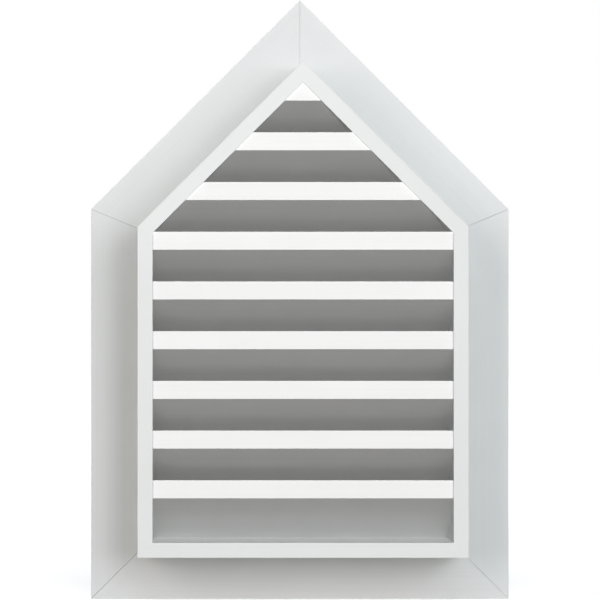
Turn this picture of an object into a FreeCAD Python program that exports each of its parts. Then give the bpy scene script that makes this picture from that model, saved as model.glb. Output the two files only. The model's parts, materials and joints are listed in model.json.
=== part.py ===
"""Peaked gable vent: a louvred box of mitred boards with a flat trim round it, all flush with the wall.

Millimetres. X runs along the wall, Z is up and the wall plane is Y = 0, with the vent on its -Y side.
The origin is the middle of the trim's lower edge, on the wall plane.
"""
import FreeCAD
import Part
import math
import os
import Sketcher

SIZES = (
    ("box_width", 431.8, "outside width of the louvre box"),
    ("box_height", 647.7, "outside height of the louvre box at its peak"),
    ("roof_pitch", 45.0, "slope of the peaked top, in degrees"),
    ("box_board", 19.7, "thickness of the boards of the box, which is the width of its rim"),
    ("box_depth", 88.9, "depth of the box, from the wall to its rim"),
    ("trim_width", 63.5, "width of the trim boards"),
    ("trim_thickness", 19.05, "thickness of the trim boards"),
    ("trim_joint", 0.3, "hairline left open at each mitre of the trim"),
    ("board_ease", 0.5, "radius of the boards' eased long edges at the front"),
    ("slat_count", 9, "number of slats, evenly spaced"),
    ("slat_thickness", 16.8, "thickness of a slat"),
    ("slat_slope", 45.0, "slope of the slats, falling towards the wall, in degrees"),
    ("slat_ease", 0.3, "radius of the slats' eased front edges"),
    ("slat_setback", 3.0, "depth of the slats' faces behind the rim"),
    ("peak_drop", 23.4, "from the opening's peak down to the top slat's lower front edge"),
    ("sill_gap", 57.8, "from the sill up to the lowest slat's lower front edge"),
    ("rear_space", 22.4, "free depth between the slats and the wall"),
    ("screen_spacing", 40.0, "distance between the wires that are drawn of the screen"),
    ("screen_wire", 1.2, "thickness of a screen wire"),
    ("screen_gap", 0.5, "clearance between the screen and the boards of the box"),
)
VALUE = {alias: value for alias, value, _ in SIZES}
WELD_SHARE = 0.25  # part of a wire's thickness that sinks into the wire it crosses

doc = FreeCAD.newDocument("gable_vent")
sheet = doc.addObject("Spreadsheet::Sheet", "sizes")
for row, (alias, value, meaning) in enumerate(SIZES, start=1):
    sheet.set(f"A{row}", str(value))
    sheet.setAlias(f"A{row}", alias)
    sheet.set(f"B{row}", meaning)
doc.recompute()

# Peaked outline: the five corners of the box's outside, moved outwards by any distance

OUTSIDE = "0"
INSIDE = "(-sizes.box_board)"
TRIM_EDGE = "sizes.trim_width"
SCREEN_EDGE = "(-sizes.box_board - sizes.screen_gap)"


def peak_at(offset):
    """Height of the peak of the outline that lies offset outside the box, as an expression."""
    return f"(sizes.trim_width + sizes.box_height + {offset} / cos(sizes.roof_pitch))"


def foot_at(offset):
    """Height of the foot of that outline, as an expression."""
    return f"(sizes.trim_width - {offset})"


def half_at(offset):
    """Half the width of that outline, as an expression."""
    return f"(sizes.box_width / 2 + {offset})"


def outline(offset):
    """The outline's corners, each as expressions for X and Z."""
    eave = f"({peak_at(offset)} - {half_at(offset)} * tan(sizes.roof_pitch))"
    return {
        "foot_left": (f"-{half_at(offset)}", foot_at(offset)),
        "foot_right": (half_at(offset), foot_at(offset)),
        "eave_right": (half_at(offset), eave),
        "peak": ("0", peak_at(offset)),
        "eave_left": (f"-{half_at(offset)}", eave),
    }


# Each board runs from one corner to the next, in a direction given as expressions for X and Z
BOARDS = {
    "sill": ("foot_left", "foot_right", ("1", "0")),
    "jamb_right": ("foot_right", "eave_right", ("0", "1")),
    "rake_right": ("eave_right", "peak", ("-cos(sizes.roof_pitch)", "sin(sizes.roof_pitch)")),
    "rake_left": ("peak", "eave_left", ("-cos(sizes.roof_pitch)", "-sin(sizes.roof_pitch)")),
    "jamb_left": ("eave_left", "foot_left", ("0", "-1")),
}
# Angle between a board and the mitre at its corner
MITRE = {
    "foot_left": "45",
    "foot_right": "45",
    "eave_right": "(45 + sizes.roof_pitch / 2)",
    "peak": "(90 - sizes.roof_pitch)",
    "eave_left": "(45 + sizes.roof_pitch / 2)",
}


def new_body(label):
    """An empty body with a label."""
    body = doc.addObject("PartDesign::Body", label)
    body.Label = label
    return body


def add_sketch(body, plane_role, corners, offset="0"):
    """A closed polygon on one of the body's origin planes, its corners bound to expressions."""
    sketch = body.newObject("Sketcher::SketchObject", f"{body.Label}_sketch")
    plane = next(item for item in body.Origin.OriginFeatures if item.Role == plane_role)
    sketch.AttachmentSupport = [(plane, "")]
    sketch.MapMode = "FlatFace"
    sketch.setExpression("AttachmentOffset.Base.z", offset)
    count = len(corners)
    turns = [math.tau * i / count for i in range(count)]
    ring = [FreeCAD.Vector(math.cos(turn), math.sin(turn)) for turn in turns]
    for i in range(count):
        sketch.addGeometry(Part.LineSegment(ring[i], ring[(i + 1) % count]))
    for i in range(count):
        sketch.addConstraint(Sketcher.Constraint("Coincident", i, 2, (i + 1) % count, 1))
    for i, place in enumerate(corners):
        for kind, start, expression in zip(("DistanceX", "DistanceY"), ring[i], place):
            index = sketch.addConstraint(Sketcher.Constraint(kind, i, 1, start))
            sketch.setExpression(f"Constraints[{index}]", expression)
    return sketch


def add_pad(body, sketch, length):
    """A pad of the sketch along its normal, its length bound to an expression."""
    pad = body.newObject("PartDesign::Pad", f"{body.Label}_pad")
    pad.Profile = sketch
    pad.setExpression("Length", length)
    doc.recompute()
    return pad


def ease_front(body, pad, along, radius):
    """Rounds the pad's front edges that run in one direction, to a radius bound to an expression."""
    front = pad.Shape.BoundBox.YMin
    names = []
    for number, edge in enumerate(pad.Shape.Edges, start=1):
        at_front = all(abs(vertex.Point.y - front) < 1e-6 for vertex in edge.Vertexes)
        if at_front and edge.tangentAt(edge.FirstParameter).cross(along).Length < 1e-6:
            names.append(f"Edge{number}")
    fillet = body.newObject("PartDesign::Fillet", f"{body.Label}_eased")
    fillet.Base = (pad, names)
    fillet.setExpression("Radius", radius)
    doc.recompute()


def pulled_back(place, direction, corner, sign):
    """A mitred corner moved along its board by half the trim's hairline joint."""
    step = f"{sign} sizes.trim_joint / 2 / sin({MITRE[corner]})"
    return tuple(f"{value} {step} * ({share})" for value, share in zip(place, direction))


def make_board(label, board, outer, inner, depth, open_joint):
    """One mitred board between two outlines, standing on the wall plane."""
    start, end, direction = BOARDS[board]
    corners = []
    ends = ((start, outer, "+"), (end, outer, "-"), (end, inner, "-"), (start, inner, "+"))
    for corner, offset, sign in ends:
        place = outline(offset)[corner]
        corners.append(pulled_back(place, direction, corner, sign) if open_joint else place)
    body = new_body(label)
    sketch = add_sketch(body, "XZ_Plane", corners)
    pad = add_pad(body, sketch, depth)
    first = sketch.Geometry[0].StartPoint
    second = sketch.Geometry[0].EndPoint
    along = FreeCAD.Vector(second.x - first.x, 0, second.y - first.y).normalize()
    ease_front(body, pad, along, "sizes.board_ease")
    return body


def make_core(label, offset):
    """A prism that fills an outline through the depth of the box."""
    body = new_body(label)
    sketch = add_sketch(body, "XZ_Plane", list(outline(offset).values()))
    add_pad(body, sketch, "sizes.box_depth")
    return body


def make_slat(number, opening):
    """A plumb-cut slat that falls towards the wall, cut to the opening at its ends."""
    front = "-(sizes.box_depth - sizes.slat_setback)"
    back = "-sizes.rear_space"
    face = "sizes.slat_thickness / cos(sizes.slat_slope)"
    fall = "(sizes.box_depth - sizes.slat_setback - sizes.rear_space) * tan(sizes.slat_slope)"
    top = f"({peak_at(INSIDE)} - sizes.peak_drop)"
    bottom = f"({foot_at(INSIDE)} + sizes.sill_gap)"
    low = f"{top} - {number - 1} * ({top} - {bottom}) / (sizes.slat_count - 1)"
    corners = (
        (front, low),
        (back, f"{low} - {fall}"),
        (back, f"{low} - {fall} + {face}"),
        (front, f"{low} + {face}"),
    )
    blank = new_body(f"slat_blank_{number}")
    sketch = add_sketch(blank, "YZ_Plane", corners, offset="-sizes.box_width / 2")
    pad = add_pad(blank, sketch, "sizes.box_width")
    ease_front(blank, pad, FreeCAD.Vector(1, 0, 0), "sizes.slat_ease")
    slat = doc.addObject("Part::Common", f"slat_{number}")
    slat.Label = f"slat_{number}"
    slat.Base = blank
    slat.Tool = opening
    return slat


def add_wires(body, corners, plane, axis, count, step):
    """A row of straight wires: one padded from its outline, and the others patterned along an axis."""
    sketch = add_sketch(body, "XZ_Plane", corners, offset=plane)
    pad = add_pad(body, sketch, "sizes.screen_wire")
    pattern = body.newObject("PartDesign::LinearPattern", f"{body.Label}_row")
    pattern.Originals = [pad]
    pattern.Direction = (sketch, [axis])
    pattern.setExpression("Length", f"{count - 1} * {step}")
    pattern.Occurrences = count
    body.Tip = pattern
    doc.recompute()


def make_screen(outline_core):
    """Welded wire cloth against the backs of the slats: upright wires, and level wires behind them."""
    step = "sizes.screen_spacing"
    thick = "sizes.screen_wire"
    foot, peak, half = foot_at(INSIDE), peak_at(INSIDE), half_at(INSIDE)
    inner_half = VALUE["box_width"] / 2 - VALUE["box_board"]
    pitch = math.radians(VALUE["roof_pitch"])
    inner_rise = VALUE["box_height"] - VALUE["box_board"] * (1 + 1 / math.cos(pitch))
    cloth = new_body("wire_cloth")

    beside = int((inner_half - VALUE["screen_gap"]) / VALUE["screen_spacing"])
    first = f"-{beside} * {step}"
    left, right = f"{first} - {thick} / 2", f"{first} + {thick} / 2"
    upright = ((left, foot), (right, foot), (right, peak), (left, peak))
    add_wires(cloth, upright, f"sizes.rear_space - {thick}", "H_Axis", 2 * beside + 1, step)

    levels = int(inner_rise / VALUE["screen_spacing"] - 0.5) + 1
    low, high = f"{foot} + ({step} - {thick}) / 2", f"{foot} + ({step} + {thick}) / 2"
    level = ((f"-{half}", low), (half, low), (half, high), (f"-{half}", high))
    add_wires(cloth, level, f"sizes.rear_space - {2 - WELD_SHARE} * {thick}", "V_Axis", levels, step)

    screen = doc.addObject("Part::Common", "insect_screen")
    screen.Label = "insect_screen"
    screen.Base = cloth
    screen.Tool = outline_core
    return screen


parts = []
for board in BOARDS:
    parts.append(make_board(f"trim_{board}", board, TRIM_EDGE, OUTSIDE, "sizes.trim_thickness", True))
    parts.append(make_board(f"frame_{board}", board, OUTSIDE, INSIDE, "sizes.box_depth", False))
opening = make_core("opening_core", INSIDE)
parts += [make_slat(number + 1, opening) for number in range(int(VALUE["slat_count"]))]
parts.append(make_screen(make_core("screen_core", SCREEN_EDGE)))
doc.recompute()

for item in doc.Objects:
    if {"Invalid", "Error"} & set(item.State):
        raise RuntimeError(f"{item.Label} did not compute: {item.State}")
os.makedirs("parts", exist_ok=True)
for part in parts:
    shape = part.Shape
    if shape.isNull() or not shape.isValid() or len(shape.Solids) != 1:
        raise RuntimeError(f"{part.Label} is not one valid solid")
    shape.exportStep(f"parts/{part.Label}.step")
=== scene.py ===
"""Looks of a peaked gable vent: dressed boards and slats, a wire screen behind them and a white studio.

Metres, in the part's own frame: X along the wall, Z up, the wall plane at Y = 0 and the vent on its -Y side.
Sizes in the classes are in millimetres, angles in degrees and the power of lamps in watts.
"""

import json
import logging
import math
import random
from dataclasses import dataclass, field
from enum import Enum
from typing import Any

import bmesh
import bpy
from mathutils import Matrix, Vector

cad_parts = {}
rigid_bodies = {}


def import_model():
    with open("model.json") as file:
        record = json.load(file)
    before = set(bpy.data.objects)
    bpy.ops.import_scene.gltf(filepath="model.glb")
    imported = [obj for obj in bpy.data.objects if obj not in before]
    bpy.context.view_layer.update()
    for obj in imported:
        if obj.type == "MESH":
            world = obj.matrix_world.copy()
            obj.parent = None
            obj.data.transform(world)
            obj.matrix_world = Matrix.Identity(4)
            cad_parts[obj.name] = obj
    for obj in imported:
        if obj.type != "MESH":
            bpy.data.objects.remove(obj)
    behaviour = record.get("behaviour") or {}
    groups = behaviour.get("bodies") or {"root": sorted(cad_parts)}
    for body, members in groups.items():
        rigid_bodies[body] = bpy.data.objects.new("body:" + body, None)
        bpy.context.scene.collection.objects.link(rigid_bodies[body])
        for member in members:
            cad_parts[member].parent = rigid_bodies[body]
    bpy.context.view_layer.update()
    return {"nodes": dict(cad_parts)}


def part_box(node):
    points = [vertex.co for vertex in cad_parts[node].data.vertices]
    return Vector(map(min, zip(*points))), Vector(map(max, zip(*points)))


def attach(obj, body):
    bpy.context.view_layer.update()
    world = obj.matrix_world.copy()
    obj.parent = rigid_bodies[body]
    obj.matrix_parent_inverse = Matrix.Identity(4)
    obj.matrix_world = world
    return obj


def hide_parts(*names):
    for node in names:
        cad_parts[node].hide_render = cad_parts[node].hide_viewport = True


frame: dict[str, Any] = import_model()

LOG = logging.getLogger("gable_vent")
BODY = "root"
MM = 0.001
IMAGE_SIDE = 600
QUARTER_TURN = math.radians(90)
WHITE_HEX = "#FFFFFF"

# The sRGB curve: a straight foot up to the knee, and a power law above it.
SRGB_KNEE = 0.04045
SRGB_FOOT = 12.92
SRGB_OFFSET = 0.055
SRGB_POWER = 2.4

# A Mix node has sockets of the same names for each data type, so those for colours are taken by number.
MIX_COLOUR_A = 6
MIX_COLOUR_B = 7
MIX_COLOUR_RESULT = 2

# A grid's size is half its side, so this one is a square of side 1.
UNIT_GRID = 0.5


def linear(hex_colour: str) -> tuple[float, float, float, float]:
    """Turns an sRGB hex colour into the linear values that nodes and lamps take.

    Args:
        hex_colour: Six hex digits, with or without a leading number sign.

    Returns:
        Linear red, green and blue, with an alpha of 1.
    """
    shares = [byte / 255 for byte in bytes.fromhex(hex_colour.lstrip("#"))]
    red, green, blue = [
        share / SRGB_FOOT if share <= SRGB_KNEE else ((share + SRGB_OFFSET) / (1 + SRGB_OFFSET)) ** SRGB_POWER
        for share in shares
    ]
    return red, green, blue, 1.0


def add_node(tree: bpy.types.NodeTree, kind: str, inputs: dict[Any, Any] | None = None,
             **settings: Any) -> bpy.types.Node:
    """Adds one node, with its settings, values and links.

    Args:
        tree: The node tree that gets the node.
        kind: Blender's name of the node's type.
        inputs: Values or sockets for the node's inputs, by input name or number.
        settings: Properties of the node, by name.

    Returns:
        The new node.
    """
    node = tree.nodes.new(kind)
    for name, value in settings.items():
        setattr(node, name, value)
    for key, value in (inputs or {}).items():
        if isinstance(value, bpy.types.NodeSocket):
            tree.links.new(value, node.inputs[key])
        else:
            node.inputs[key].default_value = value
    return node


def new_material(name: str) -> tuple[bpy.types.Material, bpy.types.NodeTree, bpy.types.Node]:
    """Makes an empty material with a Principled shader.

    Args:
        name: The material's name.

    Returns:
        The material, its node tree and its shader node.
    """
    material = bpy.data.materials.new(name)
    material.use_nodes = True
    tree = material.node_tree
    tree.nodes.clear()
    shader = add_node(tree, "ShaderNodeBsdfPrincipled")
    add_node(tree, "ShaderNodeOutputMaterial", {"Surface": shader.outputs["BSDF"]})
    return material, tree, shader


def new_piece(name: str, bm: bmesh.types.BMesh, material: bpy.types.Material) -> bpy.types.Object:
    """Turns a finished bmesh into a piece that rides on the vent.

    Args:
        name: The piece's name.
        bm: Its shape, in metres and in place. It is freed.
        material: Its material.

    Returns:
        The piece.
    """
    bmesh.ops.recalc_face_normals(bm, faces=bm.faces[:])
    mesh = bpy.data.meshes.new(name)
    bm.to_mesh(mesh)
    bm.free()
    mesh.materials.append(material)
    piece = bpy.data.objects.new(name, mesh)
    bpy.context.scene.collection.objects.link(piece)
    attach(piece, BODY)
    LOG.info("built %s with %d faces", name, len(mesh.polygons))
    return piece


def dress_node(name: str, material: bpy.types.Material) -> None:
    """Puts a material on one of the vent's own solids.

    Args:
        name: The node's name.
        material: The material that it gets.
    """
    materials = frame["nodes"][name].data.materials
    materials.clear()
    materials.append(material)
    LOG.info("dressed %s in %s", name, material.name)


class Run(Enum):
    """Direction that a board was extruded in, as the turn about Y that lays X along it."""

    LEVEL = 0.0
    UPRIGHT = -90.0
    RISING = -45.0
    FALLING = 45.0


@dataclass(frozen=True)
class Grain:
    """A noise pattern: the width of its patches, its finer octaves and how much each of them counts."""

    width: float
    detail: float
    roughness: float

    def scale(self) -> float:
        """How many patches fit in a metre."""
        return 1 / (self.width * MM)


@dataclass(frozen=True)
class ExtrudedPvc:
    """Cellular PVC board, with the satin skin that the extruder's sizing die leaves.

    To the eye it is an even, slightly soft white, with faint lines along the board where the die dragged,
    a shallow orange peel between them and a sheen that opens up only at low angles.
    """

    name: str
    light_hex: str
    dark_hex: str
    roughness_low: float = 0.44
    roughness_high: float = 0.54
    ior: float = 1.53
    clouds: Grain = Grain(90.0, 3.0, 0.55)
    # Real die lines lie about 0.5 mm apart. They are drawn wider, or none would show at a vent's distance.
    lines: Grain = Grain(2.4, 2.0, 0.5)
    line_length: float = 420.0
    line_height: float = 0.010
    # Real orange peel has cells of about 1 mm, drawn twice as wide for the same reason.
    peel: Grain = Grain(2.2, 1.0, 0.4)
    peel_height: float = 0.012
    # Noise keeps near the middle of its range, so these spans of it are stretched over the whole.
    tone_span: tuple[float, float] = (0.7, 1.3)
    gloss_span: tuple[float, float] = (0.3, 0.7)

    def material(self, run: Run) -> bpy.types.Material:
        """The finish with its die lines laid along one direction.

        Args:
            run: The direction that the board was extruded in.

        Returns:
            The material, made once for each direction.
        """
        title = f"{self.name}_{run.name.lower()}"
        known = bpy.data.materials.get(title)
        if known:
            return known
        material, tree, shader = new_material(title)
        place = add_node(tree, "ShaderNodeTexCoord").outputs["Object"]
        along = add_node(tree, "ShaderNodeMapping", {
            "Vector": place,
            "Rotation": (0.0, math.radians(run.value), 0.0),
            "Scale": (self.line_length * MM, self.lines.width * MM, self.lines.width * MM),
        }, vector_type="TEXTURE")
        lines = add_node(tree, "ShaderNodeTexNoise", {
            "Vector": along.outputs["Vector"], "Scale": 1.0,
            "Detail": self.lines.detail, "Roughness": self.lines.roughness})
        clouds = add_node(tree, "ShaderNodeTexNoise", {
            "Vector": place, "Scale": self.clouds.scale(),
            "Detail": self.clouds.detail, "Roughness": self.clouds.roughness})
        peel = add_node(tree, "ShaderNodeTexNoise", {
            "Vector": place, "Scale": self.peel.scale(),
            "Detail": self.peel.detail, "Roughness": self.peel.roughness})
        tone = add_node(tree, "ShaderNodeMath", {
            0: lines.outputs["Fac"], 1: clouds.outputs["Fac"]}, operation="ADD")
        share = add_node(tree, "ShaderNodeMapRange", {
            "Value": tone.outputs["Value"], "From Min": self.tone_span[0], "From Max": self.tone_span[1]})
        colour = add_node(tree, "ShaderNodeMix", {
            "Factor": share.outputs["Result"],
            MIX_COLOUR_A: linear(self.dark_hex),
            MIX_COLOUR_B: linear(self.light_hex),
        }, data_type="RGBA")
        gloss = add_node(tree, "ShaderNodeMapRange", {
            "Value": lines.outputs["Fac"], "From Min": self.gloss_span[0], "From Max": self.gloss_span[1],
            "To Min": self.roughness_low, "To Max": self.roughness_high})
        line_rise = add_node(tree, "ShaderNodeBump", {
            "Strength": 1.0, "Distance": self.line_height * MM, "Height": lines.outputs["Fac"]})
        peel_rise = add_node(tree, "ShaderNodeBump", {
            "Strength": 1.0, "Distance": self.peel_height * MM, "Height": peel.outputs["Fac"],
            "Normal": line_rise.outputs["Normal"]})
        tree.links.new(colour.outputs[MIX_COLOUR_RESULT], shader.inputs["Base Color"])
        tree.links.new(gloss.outputs["Result"], shader.inputs["Roughness"])
        tree.links.new(peel_rise.outputs["Normal"], shader.inputs["Normal"])
        shader.inputs["IOR"].default_value = self.ior
        return material


@dataclass(frozen=True)
class GalvanisedWire:
    """Drawn steel wire, hot-dip galvanised.

    To the eye it is a grey metal with small lighter and darker patches of zinc, duller where it is darker.
    """

    name: str
    light_hex: str
    dark_hex: str
    roughness_low: float = 0.34
    roughness_high: float = 0.52
    patches: Grain = Grain(3.5, 2.0, 0.6)
    # The span of the noise that is stretched over the whole.
    patch_span: tuple[float, float] = (0.35, 0.65)

    def material(self) -> bpy.types.Material:
        """The finish, with its zinc patches.

        Returns:
            The material.
        """
        material, tree, shader = new_material(self.name)
        place = add_node(tree, "ShaderNodeTexCoord").outputs["Object"]
        patches = add_node(tree, "ShaderNodeTexNoise", {
            "Vector": place, "Scale": self.patches.scale(),
            "Detail": self.patches.detail, "Roughness": self.patches.roughness})
        share = add_node(tree, "ShaderNodeMapRange", {
            "Value": patches.outputs["Fac"], "From Min": self.patch_span[0], "From Max": self.patch_span[1]})
        colour = add_node(tree, "ShaderNodeMix", {
            "Factor": share.outputs["Result"],
            MIX_COLOUR_A: linear(self.dark_hex),
            MIX_COLOUR_B: linear(self.light_hex),
        }, data_type="RGBA")
        gloss = add_node(tree, "ShaderNodeMapRange", {
            "Value": share.outputs["Result"], "To Min": self.roughness_high, "To Max": self.roughness_low})
        tree.links.new(colour.outputs[MIX_COLOUR_RESULT], shader.inputs["Base Color"])
        tree.links.new(gloss.outputs["Result"], shader.inputs["Roughness"])
        shader.inputs["Metallic"].default_value = 1.0
        return material


BOARD_FINISH = ExtrudedPvc("cellular_pvc_board_extruded", "#E7E9E7", "#E3E5E3")
SLAT_FINISH = ExtrudedPvc("cellular_pvc_slat_extruded", "#F4F4F4", "#F0F0F0")
SCREEN_FINISH = GalvanisedWire("galvanised_steel_wire_drawn", "#B4B8BA", "#8C9092")
STAPLE_FINISH = GalvanisedWire("galvanised_steel_staple_wire", "#C2C4C4", "#A2A5A6",
                               roughness_low=0.26, roughness_high=0.40, patches=Grain(6.0, 2.0, 0.6))


@dataclass
class BoardRing:
    """Five mitred boards that follow the peaked outline."""

    prefix: str
    finish: ExtrudedPvc

    def runs(self) -> dict[str, Run]:
        """The directions of the ring's boards.

        Returns:
            The ring's nodes, each with the direction of its board.
        """
        return {
            f"{self.prefix}_sill": Run.LEVEL,
            f"{self.prefix}_jamb_left": Run.UPRIGHT,
            f"{self.prefix}_jamb_right": Run.UPRIGHT,
            f"{self.prefix}_rake_left": Run.RISING,
            f"{self.prefix}_rake_right": Run.FALLING,
        }

    def dress(self) -> None:
        """Gives each board its finish, with the lines along the board."""
        for name, run in self.runs().items():
            dress_node(name, self.finish.material(run))


@dataclass
class LouvreBank:
    """The slats inside the box, numbered from the peak down."""

    prefix: str
    finish: ExtrudedPvc

    def names(self) -> list[str]:
        """The slats' nodes, from the peak down."""
        count = sum(name.startswith(f"{self.prefix}_") for name in frame["nodes"])
        return [f"{self.prefix}_{number}" for number in range(1, count + 1)]

    def dress(self) -> None:
        """Gives each slat its finish, with the lines along the slat."""
        for name in self.names():
            dress_node(name, self.finish.material(Run.LEVEL))


@dataclass
class WireScreen:
    """Welded wire screen against the backs of the slats, cut to the peaked opening."""

    node: str = "insect_screen"
    cell: float = 6.35
    wire: float = 0.7
    # Depth that the wires sink into each other where they are welded.
    weld: float = 0.1
    wire_sides: int = 6
    roof_pitch: float = 45.0
    # Share of a cell between the sill and the first level wire.
    first_level: float = 0.5
    half: float = field(init=False)
    foot: float = field(init=False)
    peak: float = field(init=False)
    front: float = field(init=False)
    slope: float = field(init=False)

    def __post_init__(self) -> None:
        """Reads the screen's outline from the node that it stands for."""
        low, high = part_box(self.node)
        self.half = high.x / MM
        self.foot = low.z / MM
        self.peak = high.z / MM
        self.front = low.y / MM
        self.slope = math.tan(math.radians(self.roof_pitch))

    def upright_places(self) -> list[float]:
        """X of each upright wire."""
        beside = int((self.half - self.wire / 2) / self.cell)
        return [self.cell * i for i in range(-beside, beside + 1)]

    def level_places(self) -> list[float]:
        """Z of each level wire, from the sill up."""
        count = int((self.peak - self.foot) / self.cell - self.first_level)
        return [self.foot + self.cell * (i + self.first_level) for i in range(count)]

    def upright_layer(self) -> float:
        """Y of the middle of the upright wires, which lie against the slats."""
        return self.front + self.wire / 2

    def level_layer(self) -> float:
        """Y of the middle of the level wires, which lie behind the upright ones."""
        return self.upright_layer() + self.wire - self.weld

    def add_wire(self, bm: bmesh.types.BMesh, start: Vector, end: Vector) -> None:
        """Adds one straight wire.

        Args:
            bm: The screen's shape so far.
            start: Middle of the wire's first end.
            end: Middle of its last end.
        """
        turn = (end - start).to_track_quat("Z", "Y").to_matrix().to_4x4()
        bmesh.ops.create_cone(
            bm, cap_ends=True, cap_tris=False, segments=self.wire_sides,
            radius1=self.wire / 2, radius2=self.wire / 2, depth=(end - start).length,
            matrix=Matrix.Translation((start + end) / 2) @ turn)

    def build(self, finish: GalvanisedWire) -> None:
        """Makes the screen, in place of the node with few wires.

        Args:
            finish: The wires' finish.
        """
        bm = bmesh.new()
        inset = self.wire / 2
        y = self.upright_layer()
        for x in self.upright_places():
            top = self.peak - abs(x) * self.slope - inset
            self.add_wire(bm, Vector((x, y, self.foot)), Vector((x, y, top)))
        y = self.level_layer()
        for z in self.level_places():
            reach = min(self.half, (self.peak - z) / self.slope - inset)
            self.add_wire(bm, Vector((-reach, y, z)), Vector((reach, y, z)))
        # The wires' sides are quads, shaded round, and their ends stay flat.
        for face in bm.faces:
            face.smooth = len(face.verts) == 4
        bmesh.ops.scale(bm, vec=(MM, MM, MM), verts=bm.verts[:])
        piece = new_piece("wire_screen", bm, finish.material())
        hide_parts(self.node)


@dataclass
class ScreenStaples:
    """Wire staples that hold the screen to the back edges of the slats."""

    crown: float = 10.0
    wire_width: float = 1.2
    wire_thickness: float = 0.9
    bend: float = 0.6
    bend_steps: int = 3
    leg: float = 6.0
    # Along a slat: room left at its ends, distance between staples and the least number of them.
    end_margin: float = 28.0
    spacing: float = 115.0
    fewest: int = 2
    # Height of the middle of a slat's back edge above the slat's lowest point.
    edge_middle: float = 11.0
    # Furthest that a staple is turned out of level, and the seed of the turns.
    tilt: float = 3.0
    seed: int = 7

    def add_staple(self, bm: bmesh.types.BMesh, matrix: Matrix) -> None:
        """Adds one staple: a leg, a bend, the crown, a bend and the other leg.

        Args:
            bm: The staples' shape so far.
            matrix: Takes a staple whose crown lies along X, with its legs towards -Y, to its place.
        """
        known = set(bm.verts)
        stretch = Matrix.Diagonal((self.wire_thickness, self.wire_width, 1.0, 1.0))
        lay = Matrix.Rotation(QUARTER_TURN, 4, "X")
        start = Matrix.Translation((-self.crown / 2, -self.leg, 0.0))
        corners = bmesh.ops.create_grid(
            bm, x_segments=1, y_segments=1, size=UNIT_GRID, matrix=start @ lay @ stretch)
        face = corners["verts"][0].link_faces[0]
        face = self.push(bm, face, Vector((0.0, self.leg - self.bend, 0.0)))
        face = self.turn(bm, face, Vector((-self.crown / 2 + self.bend, -self.bend, 0.0)))
        face = self.push(bm, face, Vector((self.crown - 2 * self.bend, 0.0, 0.0)))
        face = self.turn(bm, face, Vector((self.crown / 2 - self.bend, -self.bend, 0.0)))
        self.push(bm, face, Vector((0.0, self.bend - self.leg, 0.0)))
        added = [vert for vert in bm.verts if vert not in known]
        bmesh.ops.transform(bm, matrix=matrix, verts=added)

    def push(self, bm: bmesh.types.BMesh, face: bmesh.types.BMFace, by: Vector) -> bmesh.types.BMFace:
        """Draws the wire straight on from its end face.

        Args:
            bm: The staples' shape so far.
            face: The wire's end face.
            by: How far and where to.

        Returns:
            The new end face.
        """
        made = bmesh.ops.extrude_face_region(bm, geom=[face])["geom"]
        bmesh.ops.translate(bm, vec=by, verts=[item for item in made if isinstance(item, bmesh.types.BMVert)])
        return next(item for item in made if isinstance(item, bmesh.types.BMFace))

    def turn(self, bm: bmesh.types.BMesh, face: bmesh.types.BMFace, centre: Vector) -> bmesh.types.BMFace:
        """Bends the wire a quarter turn on from its end face.

        Args:
            bm: The staples' shape so far.
            face: The wire's end face.
            centre: Middle of the bend.

        Returns:
            The new end face.
        """
        made = bmesh.ops.spin(bm, geom=[face], cent=centre, axis=(0.0, 0.0, 1.0), dvec=(0.0, 0.0, 0.0),
                              angle=-QUARTER_TURN, steps=self.bend_steps, use_merge=False)["geom_last"]
        return next(item for item in made if isinstance(item, bmesh.types.BMFace))

    def places(self, screen: WireScreen, slats: list[str]) -> list[tuple[float, float]]:
        """Where the staples go: over an upright wire, midway between two level ones.

        Args:
            screen: The screen that they hold.
            slats: The slats' nodes.

        Returns:
            X and Z of each staple.
        """
        found = []
        for name in slats:
            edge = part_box(name)[0].z / MM + self.edge_middle
            z = screen.foot + screen.cell * round((edge - screen.foot) / screen.cell)
            reach = min(screen.half, (screen.peak - z) / screen.slope) - self.end_margin
            count = max(self.fewest, round(2 * reach / self.spacing) + 1)
            for i in range(count):
                x = -reach + 2 * reach * i / (count - 1)
                found.append((screen.cell * round(x / screen.cell), z))
        return found

    def build(self, screen: WireScreen, slats: list[str], finish: GalvanisedWire) -> None:
        """Makes all staples as one piece.

        Args:
            screen: The screen that they hold.
            slats: The slats' nodes.
            finish: The staples' finish.
        """
        draw = random.Random(self.seed)
        bm = bmesh.new()
        seat = screen.front + screen.wire + self.wire_thickness / 2
        for x, z in self.places(screen, slats):
            tilt = Matrix.Rotation(math.radians(draw.uniform(-self.tilt, self.tilt)), 4, "Y")
            self.add_staple(bm, Matrix.Translation((x, seat, z)) @ tilt)
        bmesh.ops.scale(bm, vec=(MM, MM, MM), verts=bm.verts[:])
        new_piece("screen_staples", bm, finish.material())


class Reach(Enum):
    """Pieces that a lamp's light gets to, or that shade it, by how their names start."""

    TRIM = ("trim_",)
    TRIM_AND_FLOOR = ("trim_", "studio_floor")
    FLOOR = ("studio_floor",)
    FRAME = ("frame_",)
    SLATS = ("slat_",)
    SLATS_AND_JAMBS = ("slat_", "frame_jamb")
    BOARDS_AND_SLATS = ("trim_", "frame_", "slat_")
    REAR = ("trim_", "frame_", "wire_screen", "screen_staples")

    def pieces(self) -> bpy.types.Collection:
        """The pieces as one collection.

        Returns:
            The collection, gathered once.
        """
        title = f"lit_{self.name.lower()}"
        known = bpy.data.collections.get(title)
        if known:
            return known
        group = bpy.data.collections.new(title)
        for item in bpy.context.scene.objects:
            if item.type == "MESH" and item.name.startswith(self.value):
                group.objects.link(item)
        return group


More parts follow.
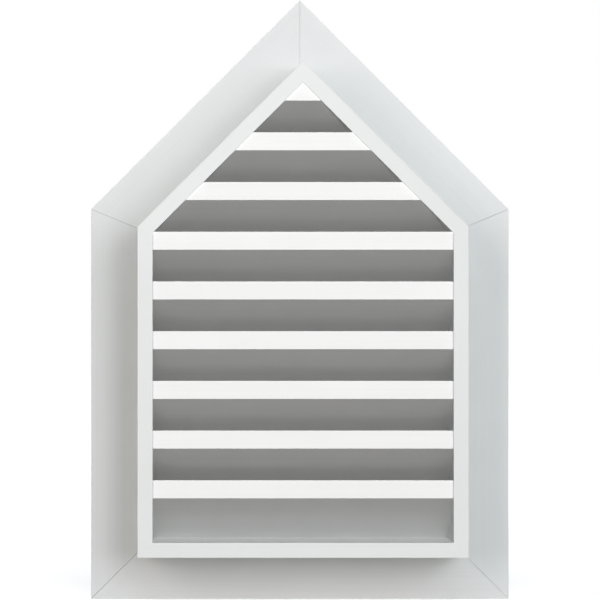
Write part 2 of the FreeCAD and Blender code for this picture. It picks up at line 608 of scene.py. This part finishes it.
@dataclass(frozen=True)
class Softbox:
    """A studio lamp with a diffuser, far off, and with flags that keep its light to some of the pieces."""

    name: str
    # Where it stands, seen from the vent: the angle to the right of the front, and the angle up.
    side: float
    rise: float
    power: float
    reach: Reach
    colour_hex: str = WHITE_HEX
    # The pieces that shade it, or None for all.
    shadows: Reach | None = None
    aim: tuple[float, float, float] = (0.0, -60.0, 400.0)
    distance: float = 7000.0
    width: float = 3500.0
    height: float = 2500.0

    def direction(self) -> Vector:
        """From the vent to the lamp, one long."""
        side, rise = math.radians(self.side), math.radians(self.rise)
        return Vector((math.sin(side) * math.cos(rise), -math.cos(side) * math.cos(rise), math.sin(rise)))

    def build(self) -> None:
        """Makes the lamp, which lights its pieces without being seen itself."""
        light = bpy.data.lights.new(self.name, "AREA")
        light.shape = "RECTANGLE"
        light.size = self.width * MM
        light.size_y = self.height * MM
        light.energy = self.power
        light.color = linear(self.colour_hex)[:3]
        lamp = bpy.data.objects.new(self.name, light)
        bpy.context.scene.collection.objects.link(lamp)
        turn = self.direction().to_track_quat("Z", "Y").to_matrix().to_4x4()
        place = Vector(self.aim) + self.direction() * self.distance
        lamp.matrix_world = Matrix.Translation(place * MM) @ turn
        lamp.visible_camera = False
        lamp.light_linking.receiver_collection = self.reach.pieces()
        if self.shadows:
            lamp.light_linking.blocker_collection = self.shadows.pieces()
        LOG.info("built lamp %s", self.name)


LAMPS = (
    Softbox("slat_key", 0.0, 44.0, 2080.0, Reach.SLATS, shadows=Reach.SLATS_AND_JAMBS,
            distance=12000.0, width=14000.0, height=2900.0),
    # What white cards on the floor give back, as two lamps under the floor, which doesn't shade them.
    Softbox("slat_card", 0.0, -30.0, 70.0, Reach.SLATS, shadows=Reach.BOARDS_AND_SLATS,
            width=12000.0, height=4000.0),
    # This one is narrow and in line with the slats' slope, so it lights little but their plumb back edges.
    Softbox("rear_card", 180.0, -45.0, 780.0, Reach.SLATS, shadows=Reach.BOARDS_AND_SLATS,
            aim=(0.0, -22.0, 650.0), distance=12000.0, height=250.0),
    Softbox("frame_front", 0.0, 19.0, 1265.0, Reach.FRAME, "#FDFDFF",
            distance=12000.0, width=2500.0, height=4300.0),
    Softbox("trim_top", 0.0, 65.0, 151.0, Reach.TRIM_AND_FLOOR, "#E8F8FF"),
    Softbox("trim_left", -48.0, 18.0, 244.0, Reach.TRIM, "#FFF6F3", height=5500.0),
    Softbox("trim_right", 38.0, 18.0, 362.0, Reach.TRIM, "#F8F9FF", width=5500.0, height=5500.0),
    Softbox("floor_top", 0.0, 70.0, 75.0, Reach.FLOOR),
    Softbox("rear_left", -135.0, 20.0, 225.0, Reach.REAR),
    Softbox("rear_right", 135.0, 20.0, 225.0, Reach.REAR),
)


@dataclass
class Studio:
    """White floor and backdrop, soft lamps and the camera."""

    lamps: tuple[Softbox, ...]
    floor_radius: float = 9000.0
    floor_sides: int = 96
    floor_drop: float = 0.2
    floor_hex: str = "#F0F0F0"
    # The floor's own brightness near the vent, and the distances over which it goes up to white.
    floor_glow: float = 0.68
    glow_near: float = 500.0
    glow_far: float = 1500.0
    # Light that the floor gives back to the vent.
    floor_return: float = 0.205
    floor_return_hex: str = "#FFFEF6"
    # Strength of the light from behind the wall plane, and the Y of a direction from which it is whole.
    rear_sky: float = 0.12
    rear_fade: float = 0.1
    # A camera left of the vent's middle, its lens in pixels and the pixel that its axis goes through.
    camera_place: tuple[float, float, float] = (-162.7, -2672.9, 387.3)
    focal_pixels: float = 1983.0
    axis_pixel: tuple[float, float] = (178.3, 309.5)
    sensor: float = 36.0
    clip_end: float = 100000.0

    def seen_ray(self, tree: bpy.types.NodeTree) -> bpy.types.NodeSocket:
        """A factor that is 1 for rays that show the studio itself: straight, mirrored or through glass.

        Args:
            tree: The node tree that gets the nodes.

        Returns:
            The socket that gives the factor.
        """
        path = add_node(tree, "ShaderNodeLightPath").outputs
        mirrored = add_node(tree, "ShaderNodeMath", {
            0: path["Is Glossy Ray"], 1: path["Is Transmission Ray"]}, operation="MAXIMUM")
        seen = add_node(tree, "ShaderNodeMath", {
            0: path["Is Camera Ray"], 1: mirrored.outputs["Value"]}, operation="MAXIMUM")
        return seen.outputs["Value"]

    def build_world(self) -> None:
        """White where it is seen, and a dim even light on the vent from behind the wall plane."""
        world = bpy.data.worlds.new("white_studio")
        world.use_nodes = True
        tree = world.node_tree
        tree.nodes.clear()
        way = add_node(tree, "ShaderNodeTexCoord").outputs["Generated"]
        behind = add_node(tree, "ShaderNodeSeparateXYZ", {"Vector": way}).outputs["Y"]
        level = add_node(tree, "ShaderNodeMapRange", {
            "Value": behind, "From Max": self.rear_fade, "To Max": self.rear_sky})
        fill = add_node(tree, "ShaderNodeBackground", {
            "Color": linear(WHITE_HEX), "Strength": level.outputs["Result"]})
        white = add_node(tree, "ShaderNodeBackground", {"Color": linear(WHITE_HEX), "Strength": 1.0})
        shown = add_node(tree, "ShaderNodeMixShader", {
            0: self.seen_ray(tree), 1: fill.outputs["Background"], 2: white.outputs["Background"]})
        add_node(tree, "ShaderNodeOutputWorld", {"Surface": shown.outputs["Shader"]})
        bpy.context.scene.world = world
        LOG.info("built world %s", world.name)

    def floor_material(self) -> bpy.types.Material:
        """Matte white paper that takes the vent's shadow and fades into the white further out.

        Returns:
            The material.
        """
        material = bpy.data.materials.new("white_paper_floor")
        material.use_nodes = True
        tree = material.node_tree
        tree.nodes.clear()
        place = add_node(tree, "ShaderNodeTexCoord").outputs["Object"]
        away = add_node(tree, "ShaderNodeVectorMath", {0: place}, operation="LENGTH")
        glow = add_node(tree, "ShaderNodeMapRange", {
            "Value": away.outputs["Value"],
            "From Min": self.glow_near * MM, "From Max": self.glow_far * MM,
            "To Min": self.floor_glow, "To Max": 1.0,
        }, interpolation_type="SMOOTHSTEP")
        paper = add_node(tree, "ShaderNodeBsdfDiffuse", {"Color": linear(self.floor_hex)})
        shine = add_node(tree, "ShaderNodeEmission", {
            "Color": linear(WHITE_HEX), "Strength": glow.outputs["Result"]})
        both = add_node(tree, "ShaderNodeAddShader", {
            0: paper.outputs["BSDF"], 1: shine.outputs["Emission"]})
        given_back = add_node(tree, "ShaderNodeEmission", {
            "Color": linear(self.floor_return_hex), "Strength": self.floor_return})
        shown = add_node(tree, "ShaderNodeMixShader", {
            0: self.seen_ray(tree), 1: given_back.outputs["Emission"], 2: both.outputs["Shader"]})
        add_node(tree, "ShaderNodeOutputMaterial", {"Surface": shown.outputs["Shader"]})
        return material

    def build_floor(self) -> None:
        """Makes a round floor just under the vent's lower edge."""
        bm = bmesh.new()
        bmesh.ops.create_circle(bm, cap_ends=True, segments=self.floor_sides, radius=self.floor_radius * MM,
                                matrix=Matrix.Translation((0.0, 0.0, -self.floor_drop * MM)))
        mesh = bpy.data.meshes.new("studio_floor")
        bm.to_mesh(mesh)
        bm.free()
        mesh.materials.append(self.floor_material())
        floor = bpy.data.objects.new("studio_floor", mesh)
        bpy.context.scene.collection.objects.link(floor)
        LOG.info("built %s", floor.name)

    def build_camera(self) -> None:
        """Makes a level camera that looks straight at the wall, with the frame shifted off its axis."""
        data = bpy.data.cameras.new("front_camera")
        data.sensor_width = self.sensor
        data.lens = self.focal_pixels / IMAGE_SIDE * self.sensor
        data.shift_x = (IMAGE_SIDE / 2 - self.axis_pixel[0]) / IMAGE_SIDE
        data.shift_y = (self.axis_pixel[1] - IMAGE_SIDE / 2) / IMAGE_SIDE
        data.clip_end = self.clip_end * MM
        camera = bpy.data.objects.new("front_camera", data)
        bpy.context.scene.collection.objects.link(camera)
        camera.location = Vector(self.camera_place) * MM
        camera.rotation_euler = (QUARTER_TURN, 0.0, 0.0)
        bpy.context.scene.camera = camera
        LOG.info("built %s", camera.name)

    def build(self) -> None:
        """Makes the whole studio."""
        self.build_world()
        self.build_floor()
        for lamp in self.lamps:
            lamp.build()
        self.build_camera()
        bpy.context.scene.view_settings.view_transform = "Standard"


def main() -> None:
    """Builds and dresses the vent's parts in order, then the studio round them."""
    logging.basicConfig(level=logging.INFO, format="%(name)s: %(message)s")
    BoardRing("trim", BOARD_FINISH).dress()
    BoardRing("frame", BOARD_FINISH).dress()
    louvres = LouvreBank("slat", SLAT_FINISH)
    louvres.dress()
    screen = WireScreen()
    screen.build(SCREEN_FINISH)
    ScreenStaples().build(screen, louvres.names(), STAPLE_FINISH)
    Studio(LAMPS).build()


if __name__ == "__main__":
    main()
